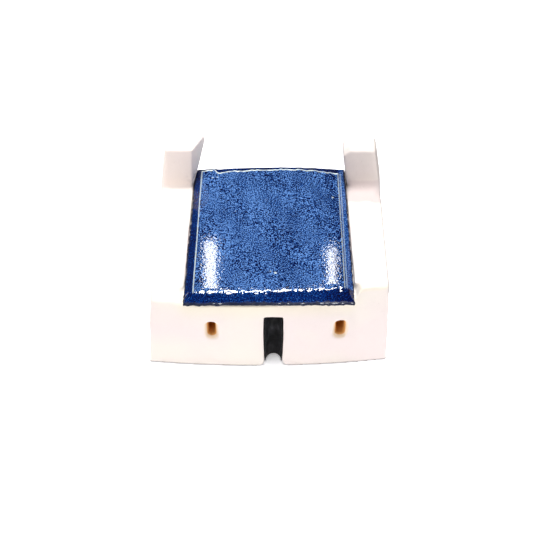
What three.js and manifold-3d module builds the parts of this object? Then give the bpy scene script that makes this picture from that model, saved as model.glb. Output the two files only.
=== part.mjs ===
// A slab-built ceramic slide block: a hollow clay box with a raised, bevelled, glazed bed lying
// between two rails, and an upright on the rear end of each rail.
// Millimetres, +Z up, the front towards -Y, the origin under the middle of the base.

import * as THREE from 'three';
import { mergeVertices } from 'three/addons/utils/BufferGeometryUtils.js';
import Module from 'manifold-3d';

const wasm = await Module();
wasm.setup();
const { lerp, smoothstep } = THREE.MathUtils;

// Overall size of the clay body
const BASE_HALF_WIDTH = 40;
const RAIL_HALF_WIDTH = { left: 37, right: 38.2 };
const TOP_HALF_WIDTH = { left: 34.6, right: 35.4 };
const HALF_DEPTH = 30;
const RAIL_LEVEL = 35;
const TOTAL_HEIGHT = 52;

// The walls lean inwards: setback of the rear wall at the rails and at the tops of the uprights
const REAR_SETBACK_AT_RAIL = 1.2;
const REAR_SETBACK_AT_TOP = 2.2;

// The front wall bulges forward in the middle, and its right end is set further back
const FRONT_BOW = 2.25;
const BULGE_CENTRE = -1 / 6;
const FRONT_LEAN = 0.7;
const RIGHT_CORNER_LEAN = 2.4;
const RIGHT_CORNER_START = 0.6;
const RIGHT_CORNER_END = 0.78;

// Slab thicknesses
const APRON_BACK_Y = -21.4;
const BACK_WALL_FRONT_Y = 22;
const DECK_UNDERSIDE = 25.5;
const SLIP = 0.3;

// Heights of the rails at their front and rear ends
const LEFT_RAIL = { front: 33.2, rear: 35.1 };
const RIGHT_RAIL = { front: 36.2, rear: 35.2 };

// The front wall's top edge steps up to the rails between these distances from the middle
const RAIL_STEP_CLEARANCE = 0.4;
const RAIL_STEP_END = 29.2;

// The glazed bed: a plane that dips a little to the front left, and its bevelled rim.
// Its front edge is straight, and the bevel there widens to the right.
const BED_TOP = 36.2;
const BED_SIDE_SLOPE = 0.017;
const BED_FRONT_SLOPE = 0.015;
const BED_THICKNESS = 3.1;
const BED_FRONT_HALF_WIDTH = 26.9;
const BED_REAR_HALF_WIDTH = 25.7;
const BED_SHIFT_X = 0.2;
const BED_FRONT_SETBACK = 0.35;
const FRONT_BEVEL = { left: 3.2, right: 5.1 };
const SIDE_BEVEL = { front: 3.1, rear: 2.3 };
const REAR_BEVEL = 2.3;
const BED_RISER_FRONT = 0.5;
const BED_RISER_REAR = 2.4;
const BED_REAR_ARCH = 1.2;
const BED_STEPS = 10;

// Uprights
const UPRIGHT_FRONT_Y = 19.2;
const UPRIGHT_FRONT_SETBACK = 0.8;
const LEFT_INNER_BASE = 26.5;
const LEFT_INNER_TOP = 25.5;
const LEFT_INNER_TWIST_BASE = 1.3;
const LEFT_INNER_TWIST_TOP = 3.8;
const RIGHT_INNER_BASE = 27.0;
const RIGHT_INNER_TOP = 24.4;
const RIGHT_CORNER_CHIP = 2.0;

// Holes in the front wall: tall bores with flared mouths
const HOLE_WIDTH = 2.6;
const HOLE_HEIGHT = 7.6;
const MOUTH_WIDTH = 4.8;
const MOUTH_HEIGHT = 9.8;
const MOUTH_DEPTH = 1.8;
const LEFT_HOLE = { x: -18.3, z: 19.2 };
const RIGHT_HOLE = { x: 23.3, z: 18.7 };

// Notch in the middle of the front wall, open at the bottom, and its black lining
const NOTCH_X = 1.7;
const NOTCH_WIDTH = 6.2;
const NOTCH_TOP = 26.2;
const NOTCH_BACK_Y = -24.6;
const LINER_WALL = 0.7;
const LINER_FIT = 0.1;
const LINER_RECESS = 1.0;
const LINER_FOOT = 0.6;

// How far cutting shapes reach past the surface they cut, and how close points are merged
const OVERRUN = 1;
const MERGE_DISTANCE = 1e-4;

// Stations across the front wall as shares of its half-width, closest together where its top edge steps up
const HALF_STATIONS = [1, 0.93, 0.86, 0.8, 0.775, 0.75, 0.72, 0.69, 0.665, 0.6, 0.45, 0.3, 0.15];
const WALL_LEVELS = 4;
const ARC_STEPS = 8;

// ---------------------------------------------------------------------------------------------
// Outer surfaces of the body

function sideName(x) {
  return x < 0 ? 'left' : 'right';
}

function halfWidth(side, z) {
  if (z < RAIL_LEVEL) return lerp(BASE_HALF_WIDTH, RAIL_HALF_WIDTH[side], z / RAIL_LEVEL);
  const above = (z - RAIL_LEVEL) / (TOTAL_HEIGHT - RAIL_LEVEL);
  return lerp(RAIL_HALF_WIDTH[side], TOP_HALF_WIDTH[side], above);
}

function rearY(z) {
  if (z < RAIL_LEVEL) return HALF_DEPTH - REAR_SETBACK_AT_RAIL * z / RAIL_LEVEL;
  const above = (z - RAIL_LEVEL) / (TOTAL_HEIGHT - RAIL_LEVEL);
  return HALF_DEPTH - lerp(REAR_SETBACK_AT_RAIL, REAR_SETBACK_AT_TOP, above);
}

function frontY(x, z) {
  const across = x / BASE_HALF_WIDTH;
  const lean = FRONT_LEAN + RIGHT_CORNER_LEAN * smoothstep(across, RIGHT_CORNER_START, RIGHT_CORNER_END);
  return -HALF_DEPTH + FRONT_BOW * (across - BULGE_CENTRE) ** 2 + lean * z / RAIL_LEVEL;
}

function railTop(rail, y) {
  const along = (y + HALF_DEPTH) / (2 * HALF_DEPTH);
  return lerp(rail.front, rail.rear, along);
}

// ---------------------------------------------------------------------------------------------
// Geometry helpers

// A closed solid through rings of points, each ring listed counter-clockwise seen from +Z
function loft(rings) {
  const count = rings[0].length;
  const outline = rings[0].map(([x, y]) => new THREE.Vector2(x, y));
  const cap = THREE.ShapeUtils.triangulateShape(outline, []);
  const index = [];
  for (const [a, b, c] of cap) {
    index.push(a, c, b);
  }
  for (let level = 0; level < rings.length - 1; level++) {
    for (let i = 0; i < count; i++) {
      const low = level * count + i;
      const lowNext = level * count + (i + 1) % count;
      index.push(low, lowNext, lowNext + count);
      index.push(low, lowNext + count, low + count);
    }
  }
  const lastRing = (rings.length - 1) * count;
  for (const [a, b, c] of cap) {
    index.push(a + lastRing, b + lastRing, c + lastRing);
  }
  const geometry = new THREE.BufferGeometry();
  geometry.setAttribute('position', new THREE.Float32BufferAttribute(rings.flat(2), 3));
  geometry.setIndex(index);
  return geometry;
}

function toSolid(geometry) {
  const bare = geometry.clone();
  bare.deleteAttribute('normal');
  bare.deleteAttribute('uv');
  const merged = mergeVertices(bare, MERGE_DISTANCE);
  const vertProperties = new Float32Array(merged.attributes.position.array);
  const triVerts = new Uint32Array(merged.index.array);
  return new wasm.Manifold(new wasm.Mesh({ numProp: 3, vertProperties, triVerts }));
}

function toGeometry(solid) {
  const mesh = solid.getMesh();
  const geometry = new THREE.BufferGeometry();
  geometry.setAttribute('position', new THREE.Float32BufferAttribute(mesh.vertProperties, mesh.numProp));
  geometry.setIndex(Array.from(mesh.triVerts));
  return geometry;
}

function box(low, high) {
  const size = high.map((value, axis) => value - low[axis]);
  const geometry = new THREE.BoxGeometry(...size);
  return geometry.translate(...low.map((value, axis) => value + size[axis] / 2));
}

// An upright obround in the XZ plane: a rectangle with half-round ends
function obroundRing(centre, width, height, y) {
  const radius = width / 2;
  const straight = height / 2 - radius;
  const ring = [];
  for (const [start, offset] of [[0, straight], [Math.PI, -straight]]) {
    for (let i = 0; i <= ARC_STEPS; i++) {
      const angle = start + Math.PI * i / ARC_STEPS;
      ring.push([centre.x + radius * Math.cos(angle), y, centre.z + offset + radius * Math.sin(angle)]);
    }
  }
  return ring;
}

// ---------------------------------------------------------------------------------------------
// Clay slabs

// The front wall's top edge: low under the bed, stepping up to the rail on each side
function apronTop(x) {
  const fromMiddle = Math.abs(x - BED_SHIFT_X);
  const step = smoothstep(fromMiddle, BED_FRONT_HALF_WIDTH + RAIL_STEP_CLEARANCE, RAIL_STEP_END);
  const underBed = bedPlane(x, -HALF_DEPTH) - BED_THICKNESS - SLIP;
  const rail = x < 0 ? LEFT_RAIL.front : RIGHT_RAIL.front;
  return lerp(underBed, rail, step);
}

// A sweep across the width: each station is a closed section of the wall in its own YZ plane
function apronBlank() {
  const stations = [...HALF_STATIONS.map((share) => -share), 0, ...HALF_STATIONS.toReversed()];
  const rings = stations.map((share) => {
    const side = sideName(share);
    const topZ = apronTop(share * RAIL_HALF_WIDTH[side]);
    const section = [];
    for (let i = 0; i <= WALL_LEVELS; i++) {
      const z = topZ * (1 - i / WALL_LEVELS);
      const x = share * halfWidth(side, z);
      section.push([x, frontY(x, z), z]);
    }
    for (let i = 0; i <= WALL_LEVELS; i++) {
      const z = topZ * i / WALL_LEVELS;
      section.push([share * halfWidth(side, z), APRON_BACK_Y, z]);
    }
    return section;
  });
  return loftAcross(rings);
}

// Like loft, for rings that lie in planes of constant X and are convex
function loftAcross(rings) {
  const count = rings[0].length;
  const index = [];
  for (let i = 1; i < count - 1; i++) {
    index.push(0, i + 1, i);
  }
  for (let level = 0; level < rings.length - 1; level++) {
    for (let i = 0; i < count; i++) {
      const left = level * count + i;
      const leftNext = level * count + (i + 1) % count;
      index.push(left, leftNext, leftNext + count);
      index.push(left, leftNext + count, left + count);
    }
  }
  const lastRing = (rings.length - 1) * count;
  for (let i = 1; i < count - 1; i++) {
    index.push(lastRing, lastRing + i, lastRing + i + 1);
  }
  const geometry = new THREE.BufferGeometry();
  geometry.setAttribute('position', new THREE.Float32BufferAttribute(rings.flat(2), 3));
  geometry.setIndex(index);
  return geometry;
}

function holeCutter(hole) {
  const face = frontY(hole.x, hole.z);
  const bore = obroundRing(hole, HOLE_WIDTH, HOLE_HEIGHT, APRON_BACK_Y + OVERRUN);
  const throat = obroundRing(hole, HOLE_WIDTH, HOLE_HEIGHT, face + MOUTH_DEPTH);
  const mouth = obroundRing(hole, MOUTH_WIDTH, MOUTH_HEIGHT, face);
  const outside = obroundRing(hole, MOUTH_WIDTH + OVERRUN, MOUTH_HEIGHT + OVERRUN, face - OVERRUN);
  const rings = [outside, mouth, throat, bore].map((ring) => ring.reverse());
  return loftAcross(rings);
}

function frontApron() {
  const notch = box(
    [NOTCH_X - NOTCH_WIDTH / 2, -HALF_DEPTH - OVERRUN, -OVERRUN],
    [NOTCH_X + NOTCH_WIDTH / 2, NOTCH_BACK_Y, NOTCH_TOP],
  );
  const solid = toSolid(apronBlank())
    .subtract(toSolid(notch))
    .subtract(toSolid(holeCutter(LEFT_HOLE)))
    .subtract(toSolid(holeCutter(RIGHT_HOLE)));
  return toGeometry(solid);
}

// Distance of the bed's side, and so of a cheek's inner face, from the bed's middle line
function bedHalfWidth(y) {
  const along = (y + HALF_DEPTH) / (2 * HALF_DEPTH);
  return lerp(BED_FRONT_HALF_WIDTH, BED_REAR_HALF_WIDTH, along);
}

function cheekInner(side, y) {
  return BED_SHIFT_X + side * (bedHalfWidth(y) + SLIP);
}

function cheek(side, rail) {
  const outerX = (z) => side * halfWidth(sideName(side), z);
  const corner = (outer, y, z) => [outer ? outerX(z) : cheekInner(side, y), y, z];
  const ring = (level) => {
    const z = (y) => level * railTop(rail, y);
    const rear = (share) => rearY(share * railTop(rail, HALF_DEPTH));
    const points = [
      corner(true, APRON_BACK_Y, z(APRON_BACK_Y)),
      corner(false, APRON_BACK_Y, z(APRON_BACK_Y)),
      corner(false, rear(level), z(rear(level))),
      corner(true, rear(level), z(rear(level))),
    ];
    return side < 0 ? points : points.reverse();
  };
  return loft([ring(0), ring(1)]);
}

function backWall() {
  const ring = (z) => [
    [cheekInner(-1, BACK_WALL_FRONT_Y) + SLIP, BACK_WALL_FRONT_Y, z],
    [cheekInner(1, BACK_WALL_FRONT_Y) - SLIP, BACK_WALL_FRONT_Y, z],
    [cheekInner(1, rearY(z)) - SLIP, rearY(z), z],
    [cheekInner(-1, rearY(z)) + SLIP, rearY(z), z],
  ];
  return loft([ring(0), ring(DECK_UNDERSIDE)]);
}

function bedPlane(x, y) {
  return BED_TOP + BED_SIDE_SLOPE * x + BED_FRONT_SLOPE * y;
}

function deckSlab() {
  const rear = rearY(RAIL_LEVEL);
  const ring = (height) => [
    [cheekInner(-1, APRON_BACK_Y) + SLIP, APRON_BACK_Y],
    [cheekInner(1, APRON_BACK_Y) - SLIP, APRON_BACK_Y],
    [cheekInner(1, rear) - SLIP, rear],
    [cheekInner(-1, rear) + SLIP, rear],
  ].map(([x, y]) => [x, y, height(x, y)]);
  const top = (x, y) => bedPlane(x, y) - BED_THICKNESS - SLIP;
  return loft([ring(() => DECK_UNDERSIDE), ring(top)]);
}

// ---------------------------------------------------------------------------------------------
// The glazed bed

// One outline of the bed, pulled in by inset times the width of its bevel
function bedOutline(inset, grow) {
  const points = [];
  for (let i = 0; i <= BED_STEPS; i++) {
    const share = i / BED_STEPS;
    const bevel = lerp(FRONT_BEVEL.left, FRONT_BEVEL.right, share ** 2);
    const y = -HALF_DEPTH + BED_FRONT_SETBACK - grow + bevel * inset;
    points.push([2 * share - 1, y, SIDE_BEVEL.front]);
  }
  for (let i = BED_STEPS; i >= 0; i--) {
    const across = 2 * i / BED_STEPS - 1;
    const y = rearY(RAIL_LEVEL) + grow - REAR_BEVEL * inset - BED_REAR_ARCH * across ** 2;
    points.push([across, y, SIDE_BEVEL.rear]);
  }
  return points.map(([across, y, sideBevel]) => {
    const half = bedHalfWidth(y) - sideBevel * inset + grow;
    return [BED_SHIFT_X + across * half, y];
  });
}

function bedGeometry(grow = 0) {
  const outer = bedOutline(0, grow);
  const ridge = bedOutline(1, grow);
  const underside = ([x, y]) => [x, y, bedPlane(x, y) - BED_THICKNESS - grow];
  const bevelFoot = ([x, y]) => {
    const along = (y + HALF_DEPTH) / (2 * HALF_DEPTH);
    const riser = lerp(BED_RISER_FRONT, BED_RISER_REAR, along);
    return [x, y, bedPlane(x, y) - BED_THICKNESS + riser + grow];
  };
  const top = ([x, y]) => [x, y, bedPlane(x, y) + grow];
  return loft([outer.map(underside), outer.map(bevelFoot), ridge.map(top)]);
}

// ---------------------------------------------------------------------------------------------
// Uprights

function leftUpright() {
  const foot = (x, y) => [x, y, railTop(LEFT_RAIL, y) + SLIP];
  const footRear = rearY(RAIL_LEVEL + SLIP);
  const frontTop = UPRIGHT_FRONT_Y + UPRIGHT_FRONT_SETBACK;
  const base = [
    foot(-RAIL_HALF_WIDTH.left, UPRIGHT_FRONT_Y),
    foot(-LEFT_INNER_BASE, UPRIGHT_FRONT_Y),
    foot(-LEFT_INNER_BASE + LEFT_INNER_TWIST_BASE, footRear),
    foot(-RAIL_HALF_WIDTH.left, footRear),
  ];
  const top = [
    [-TOP_HALF_WIDTH.left, frontTop, TOTAL_HEIGHT],
    [-LEFT_INNER_TOP, frontTop, TOTAL_HEIGHT],
    [-LEFT_INNER_TOP + LEFT_INNER_TWIST_TOP, rearY(TOTAL_HEIGHT), TOTAL_HEIGHT],
    [-TOP_HALF_WIDTH.left, rearY(TOTAL_HEIGHT), TOTAL_HEIGHT],
  ];
  return toGeometry(toSolid(loft([base, top])).subtract(toSolid(bedGeometry(SLIP))));
}

function rightUpright() {
  const chipZ = TOTAL_HEIGHT - RIGHT_CORNER_CHIP;
  const share = (chipZ - RAIL_LEVEL) / (TOTAL_HEIGHT - RAIL_LEVEL);
  const chipInner = lerp(RIGHT_INNER_BASE, RIGHT_INNER_TOP, share);
  const foot = (x, y) => [x, y, railTop(RIGHT_RAIL, y) + SLIP];
  const frontTop = UPRIGHT_FRONT_Y + UPRIGHT_FRONT_SETBACK;
  const ring = (inner, outer, front, rear, z) => [
    [inner, front, z],
    [outer, front, z],
    [outer, rear, z],
    [inner, rear, z],
  ];
  const footRear = rearY(RAIL_LEVEL + SLIP);
  const topRear = rearY(TOTAL_HEIGHT);
  const outline = ring(RIGHT_INNER_BASE, RAIL_HALF_WIDTH.right, UPRIGHT_FRONT_Y, footRear, 0);
  const base = outline.map(([x, y]) => foot(x, y));
  const chip = ring(chipInner, halfWidth('right', chipZ), frontTop, rearY(chipZ), chipZ);
  const topInner = chipInner + RIGHT_CORNER_CHIP;
  const top = ring(topInner, TOP_HALF_WIDTH.right, frontTop, topRear, TOTAL_HEIGHT);
  return toGeometry(toSolid(loft([base, chip, top])).subtract(toSolid(bedGeometry(SLIP))));
}

// ---------------------------------------------------------------------------------------------
// The notch's lining: a channel with a back, two sides and a closed top

function notchLiner() {
  const half = NOTCH_WIDTH / 2 - LINER_FIT;
  const frontEdge = frontY(NOTCH_X, NOTCH_TOP) + LINER_RECESS;
  const outside = box(
    [NOTCH_X - half, frontEdge, LINER_FOOT],
    [NOTCH_X + half, NOTCH_BACK_Y - LINER_FIT, NOTCH_TOP - LINER_FIT],
  );
  const inside = box(
    [NOTCH_X - half + LINER_WALL, frontEdge - OVERRUN, LINER_FOOT - OVERRUN],
    [NOTCH_X + half - LINER_WALL, NOTCH_BACK_Y - LINER_FIT - LINER_WALL, NOTCH_TOP - LINER_FIT - LINER_WALL],
  );
  return toGeometry(toSolid(outside).subtract(toSolid(inside)));
}

// ---------------------------------------------------------------------------------------------
// Materials and assembly

const clay = () => new THREE.MeshStandardMaterial({ color: '#f3ebe4', roughness: 0.8, metalness: 0 });
const glaze = () => new THREE.MeshStandardMaterial({ color: '#2a5596', roughness: 0.15, metalness: 0 });
const rubber = () => new THREE.MeshStandardMaterial({ color: '#23252b', roughness: 0.6, metalness: 0 });

function piece(name, geometry, material) {
  const mesh = new THREE.Mesh(geometry, material);
  mesh.name = name;
  return mesh;
}

const slideBlock = new THREE.Group();
slideBlock.name = 'slide_block';
slideBlock.add(
  piece('front_apron', frontApron(), clay()),
  piece('left_cheek', cheek(-1, LEFT_RAIL), clay()),
  piece('right_cheek', cheek(1, RIGHT_RAIL), clay()),
  piece('back_wall', backWall(), clay()),
  piece('deck_slab', deckSlab(), clay()),
  piece('left_upright', leftUpright(), clay()),
  piece('right_upright', rightUpright(), clay()),
  piece('glazed_bed', bedGeometry(), glaze()),
  piece('notch_liner', notchLiner(), rubber()),
);

export default slideBlock;
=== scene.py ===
"""Looks for the ceramic slide block: one clay body sculpted over copies of the CAD solids and cut apart again
at their joints, a glazed bed with a poured, uneven glaze, and a dark lining in the notch.
Lengths are in millimetres until a mesh is handed to Blender."""

import itertools
import math

import bmesh
import bpy
import numpy as np
from mathutils import Euler, Matrix, Vector


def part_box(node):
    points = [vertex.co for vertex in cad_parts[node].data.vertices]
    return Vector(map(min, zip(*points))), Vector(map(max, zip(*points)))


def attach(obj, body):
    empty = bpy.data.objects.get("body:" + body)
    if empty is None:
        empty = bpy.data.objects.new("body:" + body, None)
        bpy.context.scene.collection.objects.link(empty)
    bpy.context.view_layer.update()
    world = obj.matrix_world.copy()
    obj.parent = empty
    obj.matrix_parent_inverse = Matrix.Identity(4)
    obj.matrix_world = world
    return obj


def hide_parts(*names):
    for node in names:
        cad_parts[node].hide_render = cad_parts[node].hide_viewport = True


MM = 0.001
BODY = "root"

# The clay solids, and how far copies of each are shifted to close the joints between them
CLAY_COPIES = {
    "front_apron": [],
    "left_cheek": [(0, -1.5, 0)],
    "right_cheek": [(0, -1.5, 0)],
    "back_wall": [(1.2, 0, 0), (-1.2, 0, 0), (0, 0, 1)],
    "deck_slab": [(1.2, 0, 0), (-1.2, 0, 0), (0, -2, 0), (0, 0, -1)],
    "left_upright": [(0, 0, -1.5)],
    "right_upright": [(0, 0, -1.5)],
}

# Voxel sizes of the remeshed pieces, how close points count as one, and how far past the joints of the CAD
# pieces the clay is cut apart again
CLAY_VOXEL = 0.36
BED_VOXEL = 0.24
LINER_VOXEL = 0.2
SAME_POINT = 1e-6
CUT_MARGIN = 0.5
CHEEK_CUT_MARGIN = 1.5

# The centres of the holes in the front wall, the reach of their mouths to each side and up, and the notch
HOLES = [(-18.3, 19.2), (23.3, 18.7)]
HOLE_REACH = (2.6, 5.2)
NOTCH_X = 1.7
NOTCH_HALF_WIDTH = 3.1

# The bed: widths of its bevels, how far its rear edge arches, and how far it falls from ridge to rim
FRONT_BEVEL = (3.2, 5.1)
SIDE_BEVEL = (3.1, 2.3)
REAR_BEVEL = 2.3
REAR_ARCH = 1.2
RIM_FALL = (2.6, 0.7)

# The camera: its place, how far it looks down and aside in degrees, and its sensor and lens
CAMERA_PLACE = (0.78, -217.46, 275.71)
CAMERA_ELEVATION = 50
CAMERA_YAW = 0.4
CAMERA_SENSOR = 36
CAMERA_LENS = 66.394
CAMERA_NEAR = 10


# ---------------------------------------------------------------------------------------------
# Numbers on points


class Noise:
    """Smooth lattice noise between -1 and 1, the same on every run."""

    CELLS = 40

    def __init__(self, seed):
        self.grid = np.random.default_rng(seed).uniform(-1, 1, (self.CELLS,) * 3)

    def __call__(self, points, size):
        scaled = points / size
        base = np.floor(scaled).astype(int)
        share = scaled - base
        share = share * share * (3 - 2 * share)
        total = np.zeros(len(points))
        for corner in itertools.product((0, 1), repeat=3):
            weight = np.prod(np.where(corner, share, 1 - share), axis=1)
            i, j, k = ((base + corner) % self.CELLS).T
            total += weight * self.grid[i, j, k]
        return total


def ramp(values, low, high):
    """0 at or below low, 1 at or above high, smooth between. low may be the larger."""
    share = np.clip((values - low) / (high - low), 0, 1)
    return share * share * (3 - 2 * share)


def wander(points, *layers):
    """The sum of noises, each given as (seed, depth, size)."""
    return sum(depth * Noise(seed)(points, size) for seed, depth, size in layers)


def patch(points, x=(), y=(), z=()):
    """1 in a region and 0 outside it. Each range (a, b) of a coordinate takes it from 0 at a to 1 at b."""
    weight = np.ones(len(points))
    for values, ranges in zip(points.T, (x, y, z)):
        for edges in ranges:
            weight = weight * ramp(values, *edges)
    return weight


# ---------------------------------------------------------------------------------------------
# Meshes


def cad_solid(name):
    """(points in millimetres, faces) of a CAD node."""
    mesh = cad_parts[name].data
    points = np.empty(len(mesh.vertices) * 3)
    mesh.vertices.foreach_get("co", points)
    return points.reshape(-1, 3) / MM, [tuple(face.vertices) for face in mesh.polygons]


def join(solids):
    """One (points, faces) from several."""
    points, faces = [], []
    count = 0
    for some, their_faces in solids:
        points.append(some)
        faces += [tuple(i + count for i in face) for face in their_faces]
        count += len(some)
    return np.concatenate(points), faces


def shifted(solid, offset):
    return solid[0] + np.array(offset), solid[1]


def remeshed(solid, voxel):
    """The outside of overlapping closed solids, as an even mesh of quads with its points in millimetres."""
    mesh = bpy.data.meshes.new("work")
    mesh.from_pydata((solid[0] * MM).tolist(), [], solid[1])
    work = bpy.data.objects.new("work", mesh)
    bpy.context.scene.collection.objects.link(work)
    modifier = work.modifiers.new("remesh", "REMESH")
    modifier.mode = "VOXEL"
    modifier.voxel_size = voxel * MM
    graph = bpy.context.evaluated_depsgraph_get()
    result = bpy.data.meshes.new_from_object(work.evaluated_get(graph))
    bpy.data.objects.remove(work)
    bpy.data.meshes.remove(mesh)
    return Sculpt(result)


class Sculpt:
    """An even quad mesh that is smoothed and displaced by weights per point."""

    def __init__(self, mesh):
        count = len(mesh.vertices)
        self.points = np.empty(count * 3)
        mesh.vertices.foreach_get("co", self.points)
        self.points = self.points.reshape(-1, 3) / MM
        edges = np.empty(len(mesh.edges) * 2, dtype=np.int64)
        mesh.edges.foreach_get("vertices", edges)
        self.tails, self.heads = edges.reshape(-1, 2).T
        quads = np.empty(len(mesh.loops), dtype=np.int64)
        mesh.loops.foreach_get("vertex_index", quads)
        self.quads = quads.reshape(-1, 4)
        ends = np.concatenate([self.tails, self.heads])
        self.valence = np.bincount(ends, minlength=count)[:, None]
        self.mesh = mesh

    def around(self):
        """The mean of each point's neighbours."""
        ends = np.concatenate([self.tails, self.heads])
        others = self.points[np.concatenate([self.heads, self.tails])]
        sums = [np.bincount(ends, others[:, axis], len(self.points)) for axis in range(3)]
        return np.stack(sums, axis=1) / self.valence

    def soften(self, softness, where=1.0):
        """Moves points a share of the way to the mean of their neighbours, and that for some rounds."""
        share, rounds = softness
        weight = np.reshape(share * where, (-1, 1))
        for _ in range(rounds):
            self.points += weight * (self.around() - self.points)

    def normals(self):
        a, b, c, d = (self.points[self.quads[:, corner]] for corner in range(4))
        faces = np.cross(c - a, d - b)
        corners = self.quads.T.reshape(-1)
        repeated = np.tile(faces, (4, 1))
        sums = [np.bincount(corners, repeated[:, axis], len(self.points)) for axis in range(3)]
        normals = np.stack(sums, axis=1)
        lengths = np.linalg.norm(normals, axis=1, keepdims=True)
        return normals / np.maximum(lengths, np.finfo(float).tiny)

    def push(self, amount):
        """Moves each point along its normal."""
        self.points += self.normals() * amount[:, None]

    def bmesh(self):
        """The sculpted mesh, in millimetres."""
        self.mesh.vertices.foreach_set("co", self.points.reshape(-1))
        self.mesh.update()
        made = bmesh.new()
        made.from_mesh(self.mesh)
        return made


def split(solid, place, normal):
    """(the part behind the plane, the part in front of it), each closed by a flat cut."""
    parts = []
    for clear_outer in (True, False):
        part = solid.copy()
        cut = bmesh.ops.bisect_plane(
            part,
            geom=part.verts[:] + part.edges[:] + part.faces[:],
            dist=SAME_POINT,
            plane_co=place,
            plane_no=normal,
            clear_outer=clear_outer,
            clear_inner=not clear_outer,
        )
        edges = [e for e in cut["geom_cut"] if isinstance(e, bmesh.types.BMEdge) and e.is_boundary]
        bmesh.ops.triangle_fill(part, use_beauty=False, edges=edges, normal=normal)
        for edge in edges:
            edge.smooth = False
        parts.append(part)
    return parts


def add_piece(name, solid, material, nodes, marks):
    """Turns a bmesh in millimetres into a piece that stands for the CAD nodes. marks are pairs of a name and
    a function of points, kept on the mesh as attributes for its material."""
    bmesh.ops.recalc_face_normals(solid, faces=solid.faces[:])
    mesh = bpy.data.meshes.new(name)
    for face in solid.faces:
        face.smooth = True
    solid.to_mesh(mesh)
    solid.free()
    points = np.empty(len(mesh.vertices) * 3)
    mesh.vertices.foreach_get("co", points)
    points = points.reshape(-1, 3)
    for mark, measure in marks:
        attribute = mesh.attributes.new(mark, "FLOAT", "POINT")
        attribute.data.foreach_set("value", measure(points).astype(np.float32))
    mesh.transform(Matrix.Scale(MM, 4))
    mesh.materials.append(material)
    piece = bpy.data.objects.new(name, mesh)
    bpy.context.scene.collection.objects.link(piece)
    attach(piece, BODY)
    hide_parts(*nodes)


def corners(node):
    """Lowest and highest corner of a CAD node, in millimetres."""
    low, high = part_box(node)
    return np.array(low) / MM, np.array(high) / MM


# ---------------------------------------------------------------------------------------------
# Materials


class Nodes:
    """A material's node tree, with short ways to add the nodes used here."""

    def __init__(self, name):
        self.material = bpy.data.materials.new(name)
        self.material.use_nodes = True
        self.tree = self.material.node_tree
        self.shader = self.tree.nodes["Principled BSDF"]
        self.place = self.tree.nodes.new("ShaderNodeTexCoord").outputs["Object"]

    def link(self, source, target):
        self.tree.links.new(source, target)

    def fill(self, node, inputs):
        for key, value in inputs.items():
            if isinstance(value, bpy.types.NodeSocket):
                self.link(value, node.inputs[key])
            else:
                node.inputs[key].default_value = value

    def noise(self, size, detail, stretch=(1, 1, 1)):
        """Noise with features about size millimetres across, longer along an axis with a small stretch."""
        mapping = self.tree.nodes.new("ShaderNodeMapping")
        mapping.inputs["Scale"].default_value = [factor / (size * MM) for factor in stretch]
        self.link(self.place, mapping.inputs["Vector"])
        node = self.tree.nodes.new("ShaderNodeTexNoise")
        self.fill(node, {"Vector": mapping.outputs[0], "Scale": 1.0, "Detail": detail, "Roughness": 0.5})
        return node.outputs["Fac"]

    def cells(self, size):
        """Distance to the nearest of scattered points about size millimetres apart."""
        node = self.tree.nodes.new("ShaderNodeTexVoronoi")
        self.fill(node, {"Vector": self.place, "Scale": 1 / (size * MM)})
        return node.outputs["Distance"]

    def mark(self, name):
        node = self.tree.nodes.new("ShaderNodeAttribute")
        node.attribute_name = name
        return node.outputs["Fac"]

    def spread(self, value, low, high, to_low=0.0, to_high=1.0):
        """value from low..high to to_low..to_high, held at the ends."""
        node = self.tree.nodes.new("ShaderNodeMapRange")
        self.fill(node, {0: value, 1: low, 2: high, 3: to_low, 4: to_high})
        return node.outputs[0]

    def math(self, operation, a, b):
        node = self.tree.nodes.new("ShaderNodeMath")
        node.operation = operation
        self.fill(node, {0: a, 1: b})
        return node.outputs[0]

    def mix(self, share, a, b):
        node = self.tree.nodes.new("ShaderNodeMix")
        node.data_type = "RGBA"
        self.fill(node, {0: share, 6: a, 7: b})
        return node.outputs[2]

    def colours(self, value, *stops):
        """A colour ramp through (place, colour) stops."""
        node = self.tree.nodes.new("ShaderNodeValToRGB")
        elements = node.color_ramp.elements
        while len(elements) < len(stops):
            elements.new(0.5)
        for element, (place, colour) in zip(elements, stops):
            element.position = place
            element.color = colour
        self.link(value, node.inputs[0])
        return node.outputs["Color"]

    def bump(self, height, depth):
        """A bump of depth millimetres, added to the ones before it."""
        node = self.tree.nodes.new("ShaderNodeBump")
        self.fill(node, {"Height": height, "Distance": depth * MM, "Strength": 1.0})
        if self.shader.inputs["Normal"].is_linked:
            self.link(self.shader.inputs["Normal"].links[0].from_socket, node.inputs["Normal"])
        self.link(node.outputs[0], self.shader.inputs["Normal"])


def srgb(red, green, blue):
    """A colour given as it looks on a screen, 0 to 255, as the linear colour that nodes take."""
    linear = []
    for part in (red, green, blue):
        share = part / 255
        linear.append(share / 12.92 if share < 0.04045 else ((share + 0.055) / 1.055) ** 2.4)
    return (*linear, 1.0)


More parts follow.
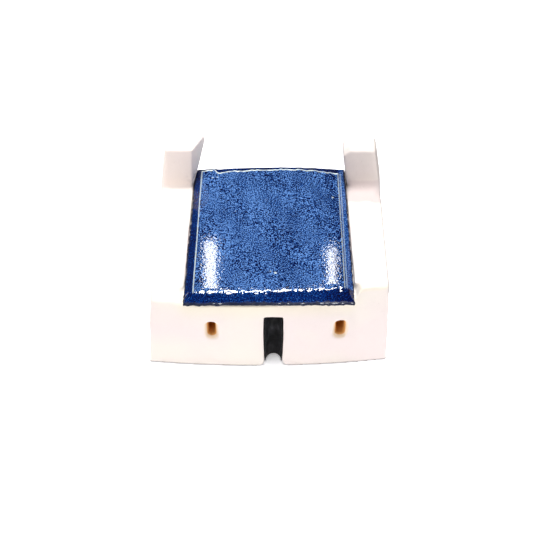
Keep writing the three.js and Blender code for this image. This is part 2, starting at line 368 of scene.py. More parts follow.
def clay_material():
    """Bare fired clay: cream to faintly pink, finely grained, with iron specks, painted warm brown shade
    inside the holes, painted light and shade on the uprights, and painted dark shade along the base, down the
    right edge and at the inner feet.
    """
    nodes = Nodes("clay")
    cream, pink, warm = srgb(246, 238, 229), srgb(245, 232, 229), srgb(250, 240, 218)
    rosy_painted_light, cool_painted_shade, grain_dark = srgb(255, 240, 232), srgb(214, 200, 198), srgb(214, 203, 194)
    iron, shade_grey = srgb(120, 100, 96), srgb(104, 96, 96)
    colour = nodes.mix(nodes.spread(nodes.noise(size=26, detail=2), 0.4, 0.62), cream, pink)
    colour = nodes.mix(nodes.mark("warm"), colour, warm)
    # Painted light: the left upright's front and the right upright's foot lighter and pinker, partly the
    # clay's own pink
    colour = nodes.mix(nodes.mark("rosy_painted_light"), colour, rosy_painted_light)
    # Painted shade: the right upright's front and wide foot darker and greyer
    colour = nodes.mix(nodes.mark("cool_painted_shade"), colour, cool_painted_shade)
    grain = nodes.noise(size=0.5, detail=4)
    colour = nodes.mix(nodes.spread(grain, 0.3, 0.7, 0.06, 0.0), colour, grain_dark)
    specks = nodes.spread(nodes.cells(size=13), 0.012, 0.02, 0.6, 0.0)
    colour = nodes.mix(specks, colour, iron)
    # Painted shade: darker at the inner feet of the uprights, a contact shadow along the base and a dark line
    # down the right edge
    colour = nodes.mix(nodes.mark("painted_shade"), colour, shade_grey)
    # Painted warm brown shade inside the holes, deeper further in
    hole_shaded = nodes.colours(
        nodes.mark("hole_shade"),
        (0.0, srgb(246, 234, 218)),
        (0.3, srgb(248, 226, 200)),
        (0.5, srgb(236, 184, 118)),
        (1.0, srgb(202, 128, 36)),
    )
    colour = nodes.mix(nodes.spread(nodes.mark("hole_shade"), 0.0, 0.15), colour, hole_shaded)
    nodes.link(colour, nodes.shader.inputs["Base Color"])
    dullness = nodes.spread(nodes.noise(size=3, detail=3), 0.3, 0.7, 0.72, 0.9)
    nodes.link(dullness, nodes.shader.inputs["Roughness"])
    nodes.shader.inputs["Specular IOR Level"].default_value = 0.3
    nodes.bump(nodes.noise(size=0.35, detail=3), depth=0.05)
    nodes.bump(nodes.noise(size=2.2, detail=3), depth=0.1)
    pits = nodes.spread(nodes.cells(size=3.1), 0.04, 0.09)
    nodes.bump(pits, depth=0.12)
    return nodes.material


def glaze_material():
    """A glossy cobalt glaze: speckled; pale along the ridges, partly where it runs thinly and partly painted
    highlight, with a few painted glints; painted shade on the bevels but a painted reflection lighter on the
    right one; dark and dull where it pools at its foot, darkened further there by painted shade.
    """
    nodes = Nodes("glaze")
    thin_glaze_and_highlight, pooled_and_shaded = srgb(220, 232, 226), srgb(0, 12, 46)
    speckle = nodes.noise(size=0.34, detail=1)
    streaks = nodes.noise(size=5, detail=2, stretch=(1, 0.12, 1))
    clouds = nodes.noise(size=9, detail=2)
    tone_and_painted_light = nodes.math("ADD", speckle, nodes.spread(streaks, 0.3, 0.7, -0.025, 0.025))
    tone_and_painted_light = nodes.math("ADD", tone_and_painted_light, nodes.spread(clouds, 0.3, 0.7, -0.025, 0.025))
    contrast = nodes.math("MULTIPLY", nodes.math("SUBTRACT", tone_and_painted_light, 0.5), nodes.mark("busy"))
    # The mark adds painted shade on the bevels and a painted reflection lighter on the right bevel
    tone_and_painted_light = nodes.math("ADD", nodes.math("ADD", contrast, 0.5), nodes.mark("tone_and_painted_light"))
    colour = nodes.colours(
        tone_and_painted_light,
        (0.2, srgb(0, 4, 44)),
        (0.36, srgb(0, 28, 92)),
        (0.5, srgb(0, 44, 110)),
        (0.62, srgb(14, 74, 142)),
        (0.8, srgb(96, 138, 200)),
    )
    # Pale along the ridges, partly thinly glazed and partly painted highlight, and painted glints
    colour = nodes.mix(nodes.mark("thin_glaze_and_highlight"), colour, thin_glaze_and_highlight)
    # Dark at the foot, partly pooling glaze and partly painted shade
    colour = nodes.mix(nodes.spread(nodes.mark("pool_and_foot_shade"), 0.45, 1.0), colour, pooled_and_shaded)
    nodes.link(colour, nodes.shader.inputs["Base Color"])
    nodes.link(nodes.spread(nodes.mark("pool_and_foot_shade"), 0.0, 1.0, 0.03, 0.6), nodes.shader.inputs["Roughness"])
    nodes.shader.inputs["IOR"].default_value = 1.45
    nodes.shader.inputs["Coat Weight"].default_value = 0.3
    nodes.shader.inputs["Coat Roughness"].default_value = 0.03
    pebbles = nodes.math("MULTIPLY", nodes.noise(size=0.8, detail=1), nodes.mark("pebbled"))
    nodes.bump(pebbles, depth=0.009)
    pinholes = nodes.spread(nodes.cells(size=4.6), 0.0, 0.07, 1.0, 0.0)
    nodes.bump(pinholes, depth=0.05)
    return nodes.material


def rubber_material():
    """Dark lining with a worn, faintly ribbed face."""
    nodes = Nodes("rubber")
    shaded = srgb(1, 1, 3)
    wear = nodes.noise(size=2.4, detail=4, stretch=(1, 1, 0.5))
    colour = nodes.colours(wear, (0.3, srgb(4, 4, 7)), (0.5, srgb(16, 17, 22)), (0.7, srgb(44, 47, 52)))
    colour = nodes.mix(nodes.mark("shade"), colour, shaded)
    nodes.link(colour, nodes.shader.inputs["Base Color"])
    nodes.link(nodes.spread(wear, 0.3, 0.7, 0.85, 0.6), nodes.shader.inputs["Roughness"])
    nodes.shader.inputs["Specular IOR Level"].default_value = 0.25
    nodes.bump(nodes.noise(size=0.5, detail=3), depth=0.06)
    nodes.bump(wear, depth=0.12)
    return nodes.material


def floor_material():
    """A pale studio floor that glows a little, so that it stays white around the block."""
    nodes = Nodes("floor")
    clouds = nodes.spread(nodes.noise(size=40, detail=2), 0.3, 0.7)
    nodes.link(nodes.mix(clouds, srgb(252, 252, 254), srgb(249, 249, 252)), nodes.shader.inputs["Base Color"])
    nodes.shader.inputs["Roughness"].default_value = 0.9
    nodes.shader.inputs["Specular IOR Level"].default_value = 0.1
    nodes.shader.inputs["Emission Color"].default_value = (1, 1, 1, 1)
    nodes.shader.inputs["Emission Strength"].default_value = 0.3
    return nodes.material


# ---------------------------------------------------------------------------------------------
# Clay


# How much parts of the clay are softened: (share of the way, rounds)
SOFT_CLAY = (0.5, 4)
SOFT_OUTER_EDGES = (0.6, 26)
SOFT_FRONT_LEFT = (0.6, 30)
SOFT_FILLET = (0.7, 110)
SOFT_NOTCH = (0.6, 24)

# Where: ranges for patch, and how far the fillet and the rubbed corners of the notch reach
OUTER_EDGES = {"x": [(33.5, 35)], "z": [(28, 31)]}
FRONT_LEFT = {"x": [(-26, -30)], "y": [(-18, -24)], "z": [(27, 30)]}
FILLET = {"x": [(26, 28.5)]}
FILLET_DEPTH = 5.5
FILLET_HEIGHT = 4.5
FILLET_FADE = (1, 0.35)
NOTCH_CORNERS = {"y": [(-25, -27)]}
NOTCH_FADE = (2.6, 1.0)

# Hand-built unevenness, as (seed, depth, size); the larger one starts above the base
UNEVEN = [(3, 0.2, 15), (4, 0.07, 4.5)]
UNEVEN_FINE = (5, 0.025, 1.3)
UNEVEN_FROM = {"z": [(0, 4)]}

# Painted warm brown shade in the holes, deeper further in: how far round a hole its mouth is looked for,
# where the shade ends as a share of the mouth's reach, how it grows with depth as (share, range of depth),
# and the range of y of the front wall
HOLE_SURROUND = 1.6
HOLE_SHADE_EDGE = (1.15, 0.95)
HOLE_SHADE_STEPS = [(0.16, (0.2, 0.9)), (0.5, (1.1, 1.9)), (0.34, (2.3, 6.0))]
FRONT_WALL = {"y": [(10, 0)]}

# Warmer clay, as (share, ranges): on the front wall below the bed's foot, with x and z measured past the side
# and the foot of the bed, and along the right rail's front top edge
WARM_WALL = (0.7, {"y": [(-24, -27)]})
WARM_PAST_FOOT = {"x": [(4, -2)], "z": [(-9, 0), (2, 0)]}
WARM_CORNER = (0.5, {"y": [(-22.5, -24)]})
WARM_CORNER_SIDE = (0, 1)
WARM_CORNER_DROP = 0.6
WARM_CORNER_FADE = (1.6, 0.3)

# Painted shade, as (share, ranges): at the inner feet of the uprights, a contact shadow along the base and a
# dark line down the right outer edge, with x measured past the outer edge for the last one, and their grain
SHADED_FEET = (0.7, {"x": [(28.4, 27.6)], "y": [(19, 20.5), (27.6, 26.6)], "z": [(43, 37), (34, 36)]})
SHADED_BASE = (0.9, {"z": [(0.7, 0.35)]})
SHADED_EDGE = (0.5, {"x": [(-0.75, -0.3)], "z": [(30, 33)]})
SHADE_GRAIN = (11, 1, 0.9)
SHADE_SPECKS = (-0.2, 0.4)
UPRIGHT_TOP_MARGIN = 0.1

# Painted light and shade on the uprights: pinker, lighter clay on the left front and the right foot, partly
# the clay's own pink, and greyer, darker clay on the right front and wide foot; ranges with z measured from
# the top of the right rail
UPRIGHT_FACE = {"y": [(24, 21)]}
ROSY_SHARE = 0.8
ROSY_LEFT = {"x": [(-22, -24)], "y": [(15, 18)], "z": [(-1, 2)]}
ROSY_RIGHT = {"x": [(26, 28)], "y": [(15, 18)], "z": [(-2, -1), (4, 1)]}
COOL_FRONT = (0.55, {"x": [(22, 24)], "y": [(15, 18)], "z": [(1, 4)]})
COOL_FOOT = (0.9, {"x": [(22, 24)], "y": [(11.8, 13.2)], "z": [(-3, -2), (5, 2)]})
COOL_FOOT_EDGE = (12, 1.2, 3)


def sculpt_clay():
    """The whole clay body: soft edges, fillets, worn corners and the unevenness of hand-built slabs."""
    solids = []
    for name, offsets in CLAY_COPIES.items():
        solid = cad_solid(name)
        solids.append(solid)
        solids += [shifted(solid, offset) for offset in offsets]
    clay = remeshed(join(solids), CLAY_VOXEL)
    x, y, z = clay.points.T

    # Everything is a little soft; the outer edges of the rails and uprights are rounder
    clay.soften(SOFT_CLAY)
    clay.soften(SOFT_OUTER_EDGES, patch(np.abs(clay.points), **OUTER_EDGES))
    clay.soften(SOFT_FRONT_LEFT, patch(clay.points, **FRONT_LEFT))

    # The right upright grows out of its rail in a wide fillet
    foot_front = corners("right_upright")[0][1]
    from_foot = np.hypot((y - foot_front) / FILLET_DEPTH, (z - rail_top()) / FILLET_HEIGHT)
    clay.soften(SOFT_FILLET, ramp(from_foot, *FILLET_FADE) * patch(clay.points, **FILLET))

    # The notch's lower corners are rubbed round
    from_corner = np.hypot(np.abs(x - NOTCH_X) - NOTCH_HALF_WIDTH, z)
    clay.soften(SOFT_NOTCH, ramp(from_corner, *NOTCH_FADE) * patch(clay.points, **NOTCH_CORNERS))

    large = wander(clay.points, *UNEVEN) * patch(clay.points, **UNEVEN_FROM)
    clay.push(large + wander(clay.points, UNEVEN_FINE))
    clay.points[:, 2] = np.maximum(clay.points[:, 2], 0)
    return clay


def rail_top():
    return corners("right_cheek")[1][2]


def hole_painted_shade(points):
    """Painted warm shade in the holes: 0 outside them, rising to 1 deep inside them."""
    x, y, z = points.T
    hole_shade = np.zeros(len(points))
    for centre_x, centre_z in HOLES:
        reach = np.hypot((x - centre_x) / HOLE_REACH[0], (z - centre_z) / HOLE_REACH[1])
        around = (reach < HOLE_SURROUND) & (y < 0)
        if not around.any():
            continue
        depth = y - y[around].min()
        inside = sum(share * ramp(depth, *depths) for share, depths in HOLE_SHADE_STEPS)
        hole_shade = np.maximum(hole_shade, ramp(reach, *HOLE_SHADE_EDGE) * inside)
    return hole_shade * patch(points, **FRONT_WALL)


def clay_warmth(points):
    """The clay is yellower on the front wall near the glaze, and at the front top edge of the right rail."""
    x, y, z = points.T
    bed_low, bed_high = corners("glazed_bed")
    past_foot = np.stack([np.abs(x) - bed_high[0], y, z - bed_low[2]], axis=1)
    wall = WARM_WALL[0] * patch(points, **WARM_WALL[1]) * patch(past_foot, **WARM_PAST_FOOT)
    from_edge = np.abs(z - rail_top() + WARM_CORNER_DROP)
    corner = ramp(x - bed_high[0], *WARM_CORNER_SIDE) * ramp(from_edge, *WARM_CORNER_FADE)
    return np.maximum(wall, WARM_CORNER[0] * corner * patch(points, **WARM_CORNER[1]))


def outer_edge(z):
    """Half the width of the body at a height."""
    upright = cad_solid("right_upright")[0]
    top = upright[:, 2].max()
    top_half = upright[upright[:, 2] > top - UPRIGHT_TOP_MARGIN, 0].max()
    halves = (corners("right_cheek")[1][0], corners("right_upright")[1][0], top_half)
    return np.interp(z, (0, upright[:, 2].min(), top), halves)


def clay_painted_shade(points):
    """Painted shade: darker at the inner feet of the uprights, a contact shadow along the base and a dark
    line down the right outer edge where it turns away.
    """
    x, y, z = points.T
    specks = ramp(wander(points, SHADE_GRAIN), *SHADE_SPECKS)
    past_edge = np.stack([x - outer_edge(z), y, z], axis=1)
    mirrored = np.stack([np.abs(x), y, z], axis=1)
    feet = SHADED_FEET[0] * patch(mirrored, **SHADED_FEET[1]) * specks
    base = SHADED_BASE[0] * patch(points, **SHADED_BASE[1])
    edge = SHADED_EDGE[0] * patch(past_edge, **SHADED_EDGE[1])
    return np.maximum.reduce([feet, base, edge])


def clay_rosy_painted_light(points):
    """Painted light: the left upright's front and the foot of the right upright are pinker and lighter,
    partly the clay's own pink.
    """
    from_rail = points - (0, 0, rail_top())
    either = np.maximum(patch(from_rail, **ROSY_LEFT), patch(from_rail, **ROSY_RIGHT))
    return ROSY_SHARE * either * patch(points, **UPRIGHT_FACE)


def clay_cool_painted_shade(points):
    """Painted shade: the right upright's front is greyer and darker than the left's, and so is its wide foot,
    whose near edge wanders.
    """
    from_rail = points - (0, 0, rail_top())
    front = COOL_FRONT[0] * patch(from_rail, **COOL_FRONT[1])
    from_rail[:, 1] += wander(points, COOL_FOOT_EDGE)
    foot = COOL_FOOT[0] * patch(from_rail, **COOL_FOOT[1])
    return np.maximum(front, foot) * patch(points, **UPRIGHT_FACE)


def build_clay(material):
    """The sculpted body, cut apart at the joints of the CAD pieces."""
    body = sculpt_clay().bmesh()
    marks = [
        ("hole_shade", hole_painted_shade),
        ("warm", clay_warmth),
        ("painted_shade", clay_painted_shade),
        ("rosy_painted_light", clay_rosy_painted_light),
        ("cool_painted_shade", clay_cool_painted_shade),
    ]

    def add(name, solid, node):
        add_piece(name, solid, material, [node], marks)

    cheek_low, cheek_high = corners("left_cheek")
    above_rails = max(cheek_high[2], rail_top()) + CUT_MARGIN
    lower, uprights = split(body, (0, 0, above_rails), (0, 0, 1))
    left, right = split(uprights, (0, 0, 0), (1, 0, 0))
    add("left_upright_clay", left, "left_upright")
    add("right_upright_clay", right, "right_upright")
    apron, rest = split(lower, (0, cheek_low[1] + CUT_MARGIN, 0), (0, 1, 0))
    add("apron_clay", apron, "front_apron")
    deck_low, deck_high = corners("deck_slab")
    left_cheek, rest = split(rest, (deck_low[0] + CHEEK_CUT_MARGIN, 0, 0), (1, 0, 0))
    rest, right_cheek = split(rest, (deck_high[0] - CHEEK_CUT_MARGIN, 0, 0), (1, 0, 0))
    add("left_cheek_clay", left_cheek, "left_cheek")
    add("right_cheek_clay", right_cheek, "right_cheek")
    back_wall, deck = split(rest, (0, 0, deck_low[2] - CUT_MARGIN), (0, 0, 1))
    add("back_wall_clay", back_wall, "back_wall")
    add("deck_clay", deck, "deck_slab")


# ---------------------------------------------------------------------------------------------
# Glazed bed


# The rear ridge: how it curves forward towards its ends, its step back near the left upright, and how it
# wanders, as (seed, depth, size)
REAR_CURVE = 0.9
REAR_CURVE_HALF = 18
REAR_CURVE_MIDDLE = -0.5
REAR_CURVE_MOST = 0.4
REAR_STEP = 1.4
REAR_STEP_X = (-17.6, -19.2)
REAR_WANDER = [(21, 0.3, 3.2), (27, 0.3, 1.0)]

# Points this far inside the rim are on the flat top, and points this close to the rear give the rear width
INSIDE_RIM = 1
REAR_END = 2

# How the bed is softened, what counts as its top, and the roll of its front ridge
SOFT_BED = (0.5, 3)
SOFT_FRONT_RIDGE = (0.7, 40)
FACING_UP = (0.2, 0.5)
FRONT_ROLL = (2.2, 1.0)

# The groove along the right bevel: its depth, distance below the ridge, half-width and ends
GROOVE_DEPTH = 0.12
GROOVE_DISTANCE = 0.45
GROOVE_FADE = (0.4, 0.0)
GROOVE_X = (20, 22)
GROOVE_END = (0, 1)

# Unevenness of the glaze, as (seed, depth, size): its crawling rim, its lumpy front ridge and the slow waves
RIM_FADE = (0.6, 0.0)
RIM_SWELL = 0.04
RIM_CRAWL = [(22, 0.16, 2.4), (23, 0.2, 0.9)]
RIDGE_FADE = (1.6, 0.6)
RIDGE_LUMPS = (24, 0.09, 0.8)
SLOW_WAVES = (25, 0.01, 10)

# Pale lines along the ridges, partly where the glaze runs thinly and partly painted highlight, the second
# right one painted highlight only, as (distance past the ridge, half-width, strength), and how they end
LEFT_LINE = (0, 0.21, 0.8)
RIGHT_LINES = [(0, 0.21, 0.45), (0.75, 0.24, 0.3)]
REAR_LINE = (0, 0.38, 1)
LINE_CORE = 0.3
LINE_END = (-0.3, 0.3)
# Painted highlight beads along the rear line, as (seed, depth, size), and their fade
REAR_BEADS = (28, 1, 1.2)
REAR_BEADS_FADE = (-0.4, 0.2)

# Painted glints, small pale spots where highlights fall on the glaze: their places, strength and ragged
# outline
PAINTED_GLINTS = [(-19.4, 23.2), (-17.9, 23.6), (21.4, 13.5), (0.6, -18.1), (2.2, -18.9)]
GLINT_STRENGTH = 0.8
GLINT_FADE = (0.4, 0.15)
GLINT_EDGE = (29, 0.3, 0.45)

# The glaze pools within this range of the rim, less along the sides, with a wandering edge; it is dark there,
# partly pooling glaze and partly painted shade at the foot
POOL_FADE = (1.15, 0.45)
POOL_SIDE = 1.7
POOL_EDGE = (26, 0.3, 1.1)

# The speckle: its contrast on the top and what the bevels take off it, and how parts are lightened or
# darkened:
# painted shade on the bevels and the rear bevel, a painted reflection lighter on the right bevel, and the top
# darker towards its sides
SLOPE_FADE = (-0.1, 0.5)
BUSY_TOP = 4.1
BUSY_SLOPE = 2.6
SLOPE_PAINTED_SHADE = -0.12
RIGHT_BEVEL_PAINTED_LIGHT = 0.35
RIGHT_BEVEL_X = (20, 21)
RIGHT_BEVEL_FADE = (0.1, 0.4)
RIGHT_BEVEL_END = (-0.2, 0.4)
REAR_BEVEL_PAINTED_SHADE = (-0.06, (0, 0.4))
RIGHT_TONE = (-0.14, (13, 22))
LEFT_TONE = (-0.05, (-15, -23))


class BedPlace:
    """Where points lie on the bed, from the corners and the top plane of the CAD bed."""

    def __init__(self):
        points = cad_solid("glazed_bed")[0]
        self.low, self.high = corners("glazed_bed")
        self.middle = (self.low[0] + self.high[0]) / 2
        rear_points = points[points[:, 1] > self.high[1] - REAR_END]
        self.front_half = (self.high[0] - self.low[0]) / 2
        self.rear_half = np.abs(rear_points[:, 0] - self.middle).max()
        x, y, z = points.T
        from_rim = np.minimum.reduce([self.from_side(x, y), self.from_front(y), self.from_rear(x, y)])
        inner = from_rim > INSIDE_RIM
        known = np.stack([x, y, np.ones_like(x)], axis=1)[inner]
        self.plane = np.linalg.lstsq(known, z[inner], rcond=None)[0]

    def along(self, y, front, rear):
        """A length that goes evenly from its front to its rear value."""
        return np.interp(y, (self.low[1], self.high[1]), (front, rear))

    def from_side(self, x, y):
        return self.along(y, self.front_half, self.rear_half) - np.abs(x - self.middle)

    def from_front(self, y):
        return y - self.low[1]

    def from_rear(self, x, y):
        return self.high[1] - REAR_ARCH * ((x - self.middle) / self.rear_half) ** 2 - y

    def side_bevel(self, y):
        return self.along(y, *SIDE_BEVEL)

    def front_bevel(self, x):
        """The front bevel widens towards the right."""
        share = np.clip((x - self.low[0]) / (self.high[0] - self.low[0]), 0, 1)
        return FRONT_BEVEL[0] + (FRONT_BEVEL[1] - FRONT_BEVEL[0]) * share**2

    def rear_bevel(self, x):
        """The rear ridge curves and wanders, and steps back near the left upright."""
        line = np.stack([x, np.zeros_like(x), np.zeros_like(x)], axis=1)
        curve = np.minimum(REAR_CURVE * (x / REAR_CURVE_HALF) ** 2 + REAR_CURVE_MIDDLE, REAR_CURVE_MOST)
        return REAR_BEVEL + curve - REAR_STEP * ramp(x, *REAR_STEP_X) + wander(line, *REAR_WANDER)

    def past_ridges(self, x, y):
        """How far a point lies outside the side, front and rear ridges."""
        side = self.side_bevel(y) - self.from_side(x, y)
        front = self.front_bevel(x) - self.from_front(y)
        rear = self.rear_bevel(x) - self.from_rear(x, y)
        return side, front, rear

    def height(self, x, y):
        """The height of the bed's top, bevels included."""
        side, front, rear = self.past_ridges(x, y)
        falls = [
            side * self.along(y, *RIM_FALL) / self.side_bevel(y),
            front * RIM_FALL[0] / self.front_bevel(x),
            rear * RIM_FALL[1] / REAR_BEVEL,
        ]
        fall = np.maximum(np.maximum.reduce(falls), 0)
        return self.plane[0] * x + self.plane[1] * y + self.plane[2] - fall


def sculpt_bed(place):
    """The bed with a rolled front ridge, an uneven rear edge, a crawling fringe and a grooved right bevel."""
    bed = remeshed(cad_solid("glazed_bed"), BED_VOXEL)
    x, y, z = bed.points.T
    from_rim = np.minimum(place.from_side(x, y), place.from_front(y))
    side, front, _ = place.past_ridges(x, y)
    on_top = ramp(bed.normals()[:, 2], *FACING_UP)
    bed.points[:, 2] += on_top * (place.height(x, y) - z)
    bed.soften(SOFT_BED)
    bed.soften(SOFT_FRONT_RIDGE, ramp(np.abs(front), *FRONT_ROLL) * on_top)

    # The right bevel has a shallow groove along it, just below the ridge
    groove = ramp(np.abs(side - GROOVE_DISTANCE), *GROOVE_FADE)
    groove = groove * ramp(x - place.middle, *GROOVE_X) * ramp(-front, *GROOVE_END)
    bed.push(-GROOVE_DEPTH * groove * on_top)

    # The glaze crawls over the edge of the clay, its front ridge is lumpy, and the rest is nearly smooth
    bed.push(ramp(from_rim, *RIM_FADE) * (RIM_SWELL + wander(bed.points, *RIM_CRAWL)))
    bed.push(wander(bed.points, RIDGE_LUMPS) * ramp(np.abs(front), *RIDGE_FADE) * on_top)
    bed.push(wander(bed.points, SLOW_WAVES))
    return bed


def pale_lines(past_ridge, *lines):
    """Lines along a ridge, at their distances past it."""
    return sum(
        strength * ramp(np.abs(past_ridge - distance), half_width, LINE_CORE * half_width)
        for distance, half_width, strength in lines
    )


def build_bed(material):
    place = BedPlace()
    bed = sculpt_bed(place)

    def thin_glaze_and_highlight(points):
        """Pale along the side and rear ridges, partly where the glaze runs thinly and partly painted
        highlight, and in a few painted glints.
        """
        x, y, _ = points.T
        side, front, rear = place.past_ridges(x, y)
        lines = np.where(x > place.middle, pale_lines(side, *RIGHT_LINES), pale_lines(side, LEFT_LINE))
        sides = lines * ramp(-front, *LINE_END) * ramp(-rear, *LINE_END)
        beads = (1 + ramp(wander(points, REAR_BEADS), *REAR_BEADS_FADE)) / 2
        rears = beads * pale_lines(rear, REAR_LINE) * ramp(-side, *LINE_END)
        ragged = wander(points, GLINT_EDGE)
        from_glints = [np.hypot(x - at_x, y - at_y) + ragged for at_x, at_y in PAINTED_GLINTS]
        glints = [GLINT_STRENGTH * ramp(distance, *GLINT_FADE) for distance in from_glints]
        return np.maximum.reduce([sides, rears, *glints])

    def pool_and_foot_shade(points):
        """Dark where the glaze gathers at the foot of the bed, partly pooling glaze and partly painted shade.
        """
        x, y, _ = points.T
        from_rim = np.minimum(POOL_SIDE * place.from_side(x, y), place.from_front(y))
        return ramp(from_rim + wander(points, POOL_EDGE), *POOL_FADE)

    def on_slope(points):
        x, y, _ = points.T
        return ramp(np.maximum.reduce(place.past_ridges(x, y)), *SLOPE_FADE)

    def busy(points):
        """The contrast of the speckle, lower on the bevels."""
        return BUSY_TOP - BUSY_SLOPE * on_slope(points)

    def pebbled(points):
        """The flat top is pebbled, and the bevels are smooth."""
        return 1 - on_slope(points)

    def tone_and_painted_light(points):
        """Painted shade darkens the bevels and a painted reflection lightens the right one; the top darkens
        towards its sides.
        """
        x, y, _ = points.T
        side, front, rear = place.past_ridges(x, y)
        across = x - place.middle
        right_bevel = ramp(across, *RIGHT_BEVEL_X) * ramp(side, *RIGHT_BEVEL_FADE)
        right_bevel = right_bevel * ramp(-front, *RIGHT_BEVEL_END)
        total = on_slope(points) * (SLOPE_PAINTED_SHADE + RIGHT_BEVEL_PAINTED_LIGHT * right_bevel)
        for values, (change, where) in ((rear, REAR_BEVEL_PAINTED_SHADE), (across, RIGHT_TONE), (across, LEFT_TONE)):
            total = total + change * ramp(values, *where)
        return total

    marks = [("thin_glaze_and_highlight", thin_glaze_and_highlight), ("pool_and_foot_shade", pool_and_foot_shade), ("busy", busy), ("tone_and_painted_light", tone_and_painted_light), ("pebbled", pebbled)]
    add_piece("bed_glaze", bed.bmesh(), material, ["glazed_bed"], marks)


# ---------------------------------------------------------------------------------------------
# Notch lining


# The lining: its wall beside the channel, how round and how finely stepped the channel is, and its roof
LINER_WALL = 0.5
CHANNEL_ROUNDNESS = 0.8
CHANNEL_STEPS = 14
ROOF_INSET = 0.1
ROOF_THICKNESS = 0.8
SOFT_LINER = (0.5, 4)
LINER_UNEVEN = [(31, 0.1, 2.2), (32, 0.03, 0.7)]

# Painted shade, darker towards its foot and in its corners: (strength, range)
SHADE_FOOT = (0.85, (14, 2))
SHADE_SIDE = (0.9, (0.8, 0.3))


def liner_profile(low, high):
    """The lining seen from above: a rectangle with a half-round channel cut into its front."""
    middle = (low[0] + high[0]) / 2
    half = (high[0] - low[0]) / 2 - LINER_WALL
    deep = high[1] - low[1] - LINER_WALL
    ring = [(low[0], low[1]), (low[0], high[1]), (high[0], high[1]), (high[0], low[1])]
    for i in range(CHANNEL_STEPS + 1):
        angle = math.pi * i / CHANNEL_STEPS
        ring.append((middle + half * math.cos(angle), low[1] + deep * math.sin(angle) ** CHANNEL_ROUNDNESS))
    return ring


def prism(ring, bottom, top):
    """The closed solid over a ring of (x, y) points."""
    count = len(ring)
    points = [(x, y, height) for height in (bottom, top) for x, y in ring]
    faces = [tuple(range(count)), tuple(reversed(range(count, 2 * count)))]
    for i in range(count):
        after = (i + 1) % count
        faces.append((i, i + count, after + count, after))
    return np.array(points), faces


def build_liner(material):
    low, high = corners("notch_liner")
    channel = prism(liner_profile(low, high), low[2], high[2])
    left, front = low[:2] + ROOF_INSET
    right, rear = high[:2]
    roof_ring = [(left, front), (left, rear), (right, rear), (right, front)]
    roof = prism(roof_ring, high[2] - ROOF_THICKNESS, high[2])
    liner = remeshed(join([channel, roof]), LINER_VOXEL)
    liner.soften(SOFT_LINER)
    liner.push(wander(liner.points, *LINER_UNEVEN))

    def shade(points):
        x, _, z = points.T
        from_side = np.minimum(x - low[0], high[0] - x)
        parts = ((z, SHADE_FOOT), (from_side, SHADE_SIDE))
        return np.maximum.reduce([strength * ramp(values, *where) for values, (strength, where) in parts])

    add_piece("liner_rubber", liner.bmesh(), material, ["notch_liner"], [("shade", shade)])


# ---------------------------------------------------------------------------------------------
# Studio


LIGHT_TARGET = (0, 0, 30)
FILL_COLOUR = (1.0, 0.97, 0.945)

# Two long narrow lights that the bed mirrors: (name, x, y, how far it is turned, (width, length))
STRIPS = [("strip_left", -69.4, 306, 0.07, (10, 212)), ("strip_right", 40.3, 300, -0.03, (6.5, 200))]
STRIP_HEIGHT = 536
STRIP_RADIANCE = 22

SURROUND_COLOUR = (0.95, 0.97, 1.0, 1)
SURROUND_STRENGTH = 0.08

# Half the floor's side, in metres
FLOOR_HALF = 3.0


def aim(thing, place, target):
    thing.location = Vector(place) * MM
    direction = Vector(target) - Vector(place)
    thing.rotation_euler = direction.to_track_quat("-Z", "Y").to_euler()


def add_area(name, place, target, size, radiance, colour=(1, 1, 1), glossy=True):
    """A flat light of the given radiance; size is in millimetres. It isn't mirrored unless it is glossy."""
    data = bpy.data.lights.new(name, "AREA")
    data.shape = "RECTANGLE"
    data.size, data.size_y = size[0] * MM, size[1] * MM
    data.energy = radiance * math.pi * data.size * data.size_y
    data.color = colour
    light = bpy.data.objects.new(name, data)
    light.visible_glossy = glossy
    bpy.context.scene.collection.objects.link(light)
    aim(light, place, target)
    return light


def add_lights():
    add_area("overhead", (-30, -10, 900), (-30, -10, 0), (240, 360), 34)
    add_area("fill_front", (-450, -700, 260), LIGHT_TARGET, (600, 500), 1.87, FILL_COLOUR, glossy=False)
    add_area("fill_right", (500, -100, 300), LIGHT_TARGET, (300, 300), 2.6, glossy=False)
    for name, x, y, lean, size in STRIPS:
        strip = add_area(name, (x, y, STRIP_HEIGHT), (x, y, 0), size, STRIP_RADIANCE)
        strip.rotation_euler = (0, 0, lean)
    add_area("rear", (0, 900, 600), LIGHT_TARGET, (700, 60), 14)


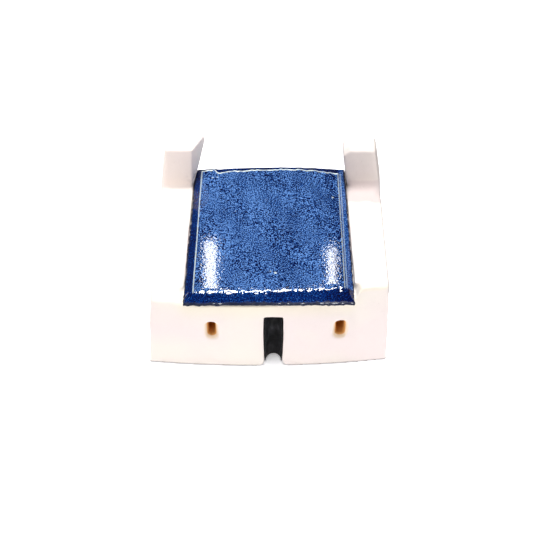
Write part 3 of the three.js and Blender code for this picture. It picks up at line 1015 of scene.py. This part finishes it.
def add_world():
    """A dim surround that the camera sees as white."""
    world = bpy.data.worlds.new("studio")
    world.use_nodes = True
    tree = world.node_tree
    dim = tree.nodes["Background"]
    dim.inputs["Color"].default_value = SURROUND_COLOUR
    dim.inputs["Strength"].default_value = SURROUND_STRENGTH
    seen = tree.nodes.new("ShaderNodeBackground")
    seen.inputs["Strength"].default_value = 1.0
    rays = tree.nodes.new("ShaderNodeLightPath")
    chosen = tree.nodes.new("ShaderNodeMixShader")
    tree.links.new(rays.outputs["Is Camera Ray"], chosen.inputs[0])
    tree.links.new(dim.outputs[0], chosen.inputs[1])
    tree.links.new(seen.outputs[0], chosen.inputs[2])
    tree.links.new(chosen.outputs[0], tree.nodes["World Output"].inputs["Surface"])
    bpy.context.scene.world = world


def add_floor():
    mesh = bpy.data.meshes.new("floor")
    around = ((-1, -1), (1, -1), (1, 1), (-1, 1))
    mesh.from_pydata([(x * FLOOR_HALF, y * FLOOR_HALF, 0) for x, y in around], [], [(0, 1, 2, 3)])
    mesh.materials.append(floor_material())
    floor = bpy.data.objects.new("floor", mesh)
    bpy.context.scene.collection.objects.link(floor)


def add_camera():
    data = bpy.data.cameras.new("camera")
    data.sensor_width = CAMERA_SENSOR
    data.lens = CAMERA_LENS
    data.clip_start = CAMERA_NEAR * MM
    camera = bpy.data.objects.new("camera", data)
    camera.location = Vector(CAMERA_PLACE) * MM
    camera.rotation_euler = Euler((math.radians(90 - CAMERA_ELEVATION), 0, math.radians(CAMERA_YAW)))
    bpy.context.scene.collection.objects.link(camera)
    bpy.context.scene.camera = camera


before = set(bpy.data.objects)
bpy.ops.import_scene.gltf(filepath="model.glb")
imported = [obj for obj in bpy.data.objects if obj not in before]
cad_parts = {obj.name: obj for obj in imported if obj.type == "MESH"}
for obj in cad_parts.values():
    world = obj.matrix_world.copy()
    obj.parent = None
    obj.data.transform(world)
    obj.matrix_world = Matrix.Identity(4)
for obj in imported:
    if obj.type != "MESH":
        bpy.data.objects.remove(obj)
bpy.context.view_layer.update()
bpy.context.scene.view_settings.view_transform = "Standard"
add_camera()
add_world()
add_lights()
add_floor()
build_clay(clay_material())
build_bed(glaze_material())
build_liner(rubber_material())
